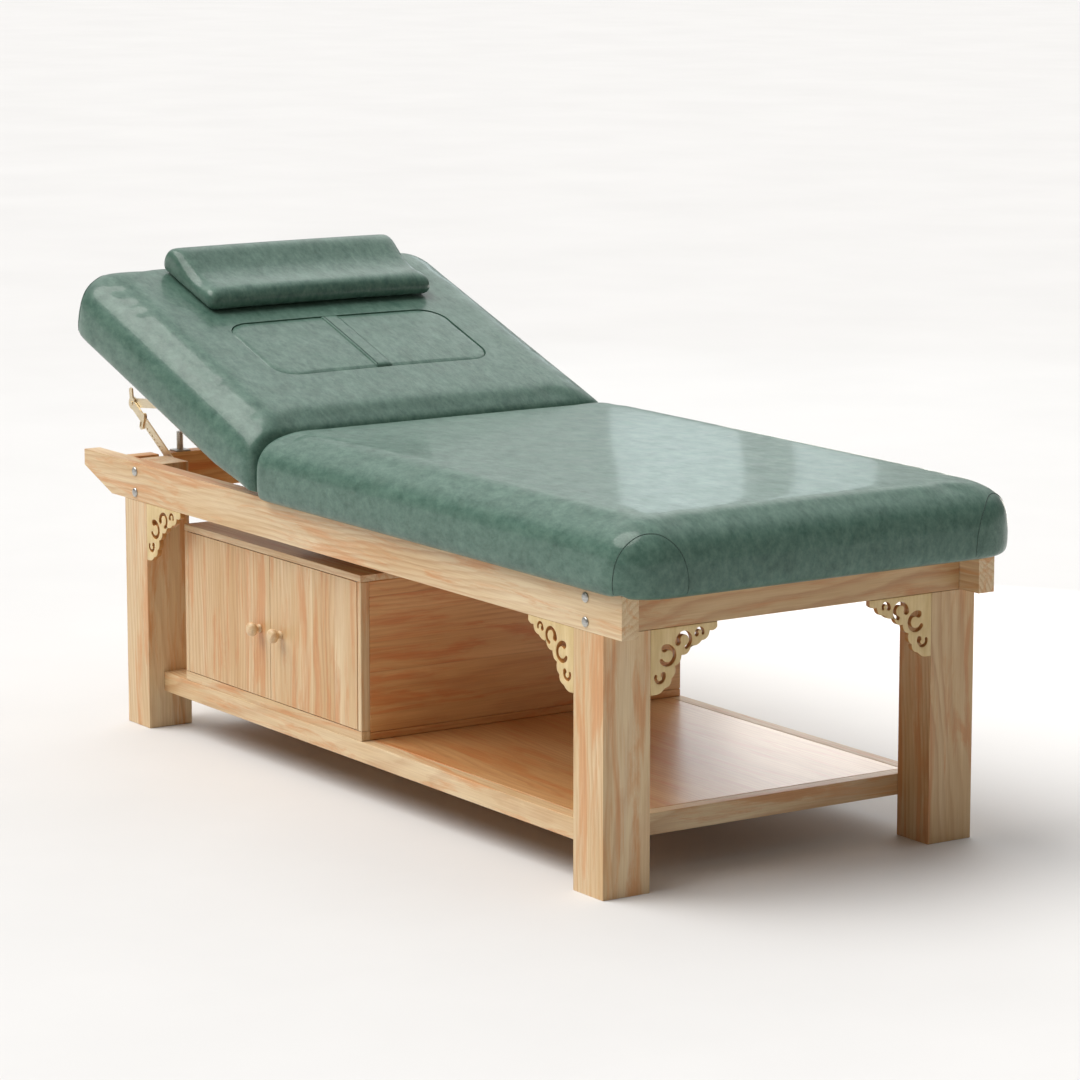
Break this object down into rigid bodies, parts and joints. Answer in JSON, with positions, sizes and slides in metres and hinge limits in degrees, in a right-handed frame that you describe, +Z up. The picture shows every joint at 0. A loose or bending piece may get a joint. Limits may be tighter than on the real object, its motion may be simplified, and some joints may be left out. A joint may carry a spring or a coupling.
{
  "type": "massage bed",
  "caption": "Wooden massage bed with a tilting upholstered back rest, face insert, neck pillow, ratchet stays, fretwork corners and a doored cupboard on its lower shelf.",
  "frame": {"origin": "on the floor, under the middle of the bed's outer box", "axes": "+X towards the foot end, +Z up; the cupboard doors face -Y"},
  "size_m": [1.88, 0.8, 0.8964],
  "materials": {
    "pine": "clear satin lacquer over pale pine with orange-brown grain",
    "plywood": "raw plywood",
    "fretwork": "pale yellow lacquered plywood, saw cut",
    "upholstery": "sage green coated fabric (faux leather), semi-gloss, over foam",
    "steel": "plain bright steel",
    "zinc_plated_steel": "yellow zinc plating"
  },
  "bodies": {
    "frame": {"leg_head_near": "pine", "leg_foot_near": "pine", "long_rail_near": "pine", "leg_head_far": "pine", "leg_foot_far": "pine", "long_rail_far": "pine", "foot_rail": "pine", "head_rail": "pine", "hinge_rail": "pine", "shelf_rail_near": "pine", "shelf_rail_far": "pine", "shelf_end_rail_head": "pine", "shelf_end_rail_foot": "pine", "shelf_board": "pine", "fret_side_head_near": "fretwork", "fret_side_foot_near": "fretwork", "fret_end_foot_near": "fretwork", "fret_side_head_far": "fretwork", "fret_side_foot_far": "fretwork", "fret_end_foot_far": "fretwork", "cupboard_base": "pine", "cupboard_side_head": "pine", "cupboard_side_foot": "pine", "cupboard_back": "plywood", "cupboard_lid": "pine", "cupboard_sill": "pine", "cupboard_stile_head": "pine", "cupboard_stile_foot": "pine", "door_pin_left_lower": "steel", "door_pin_left_upper": "steel", "door_pin_right_lower": "steel", "door_pin_right_upper": "steel", "seat_board": "plywood", "seat_cushion": "upholstery", "hinge_fixed_leaf_near": "steel", "hinge_fixed_leaf_far": "steel", "stay_anchor_near": "steel", "stay_anchor_far": "steel", "rail_bolts_foot_near": "steel", "rail_bolts_foot_far": "steel", "locating_post": "steel"},
    "backrest": {"backrest_board": "plywood", "backrest_cushion": "upholstery", "backrest_crease_foam": "upholstery", "hinge_moving_leaf_near": "steel", "hinge_moving_leaf_far": "steel", "stay_bracket_near": "steel", "stay_bracket_far": "steel"},
    "face_insert": {"face_insert": "upholstery", "insert_strap": "upholstery"},
    "pillow": {"pillow": "upholstery"},
    "door_left": {"door_left": "pine", "knob_left": "pine"},
    "door_right": {"door_right": "pine", "knob_right": "pine"},
    "stay_upper_near": {"stay_upper_arm_near": "zinc_plated_steel"},
    "stay_upper_far": {"stay_upper_arm_far": "zinc_plated_steel"},
    "stay_lower_near": {"stay_lower_arm_near": "zinc_plated_steel"},
    "stay_lower_far": {"stay_lower_arm_far": "zinc_plated_steel"}
  },
  "joints": [
    {"name": "backrest_tilt", "type": "hinge", "parent": "frame", "child": "backrest", "pos_m": [-0.253, 0, 0.51], "axis": [0, 1, 0], "range_deg": [-19, 31], "deforming": ["backrest_crease_foam"]},
    {"name": "face_insert_lift", "type": "slide", "parent": "backrest", "child": "face_insert", "axis": [0.3256, 0, 0.9455], "range_m": [0, 0.12]},
    {"name": "pillow_lift", "type": "slide", "parent": "backrest", "child": "pillow", "axis": [0.3256, 0, 0.9455], "range_m": [0, 0.2]},
    {"name": "door_left_swing", "type": "hinge", "parent": "frame", "child": "door_left", "pos_m": [-0.587, -0.3435, 0.258], "axis": [0, 0, -1], "range_deg": [0, 95]},
    {"name": "door_right_swing", "type": "hinge", "parent": "frame", "child": "door_right", "pos_m": [0.013, -0.3435, 0.258], "axis": [0, 0, 1], "range_deg": [0, 95]},
    {"name": "stay_upper_pivot_near", "type": "hinge", "parent": "backrest", "child": "stay_upper_near", "pos_m": [-0.61686, -0.278, 0.62048], "axis": [0, 1, 0], "range_deg": [-40.5, 25]},
    {"name": "stay_knee_near", "type": "hinge", "parent": "stay_upper_near", "child": "stay_lower_near", "pos_m": [-0.9246, -0.282, 0.5898], "axis": [0, 1, 0], "range_deg": [-31.5, 51.5]},
    {"name": "stay_upper_pivot_far", "type": "hinge", "parent": "backrest", "child": "stay_upper_far", "pos_m": [-0.61686, 0.278, 0.62048], "axis": [0, 1, 0], "range_deg": [-40.5, 25]},
    {"name": "stay_knee_far", "type": "hinge", "parent": "stay_upper_far", "child": "stay_lower_far", "pos_m": [-0.9246, 0.282, 0.5898], "axis": [0, 1, 0], "range_deg": [-31.5, 51.5]}
  ],
  "couplings": [
    {"joint": "stay_upper_pivot_near", "follows": "backrest_tilt", "ratio": -1.282},
    {"joint": "stay_knee_near", "follows": "backrest_tilt", "ratio": 1.629},
    {"joint": "stay_upper_pivot_far", "follows": "backrest_tilt", "ratio": -1.282},
    {"joint": "stay_knee_far", "follows": "backrest_tilt", "ratio": 1.629}
  ]
}
